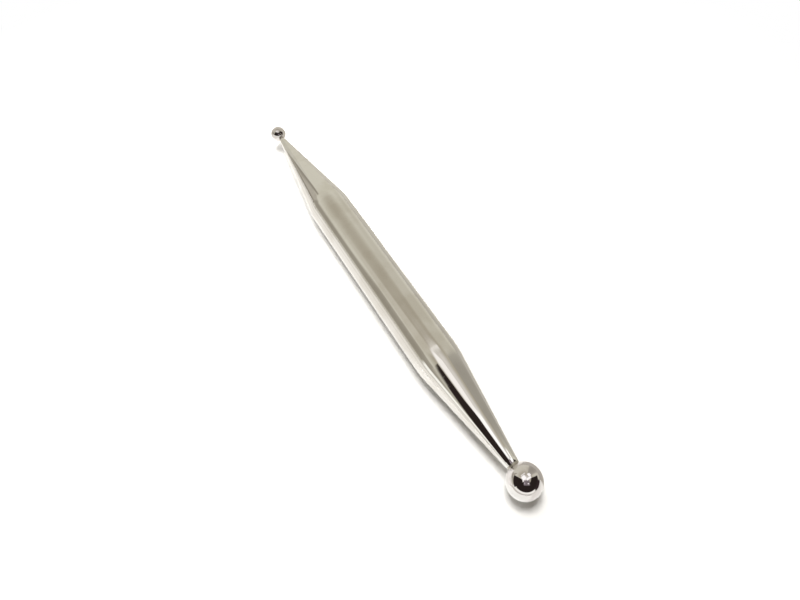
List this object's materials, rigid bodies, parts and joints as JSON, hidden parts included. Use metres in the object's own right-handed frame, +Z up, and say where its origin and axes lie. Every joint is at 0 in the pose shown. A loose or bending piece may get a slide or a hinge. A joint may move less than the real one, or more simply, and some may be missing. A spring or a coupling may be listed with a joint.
{
  "type": "embossing stylus",
  "caption": "Double-ended embossing stylus: polished steel handle with a straight barrel and tapered ends, a large ball on one and a small ball on the other.",
  "frame": {"origin": "on the surface that the stylus lies on, under its turning axis, halfway between its two ends", "axes": "+X along the turning axis towards the large ball, +Z up from the surface that the barrel lies on, +Y completes a right-handed frame"},
  "size_m": [0.1146, 0.01, 0.01],
  "materials": {
    "handle_steel": "polished",
    "ball_steel": "polished",
    "stud_steel": "satin",
    "silver_solder": "satin"
  },
  "bodies": {
    "root": {"handle": "handle_steel", "large_ball": "ball_steel", "large_ball_stud": "stud_steel", "large_solder_ring": "silver_solder", "small_ball": "ball_steel", "small_ball_stud": "stud_steel", "small_solder_ring": "silver_solder"}
  },
  "joints": []
}
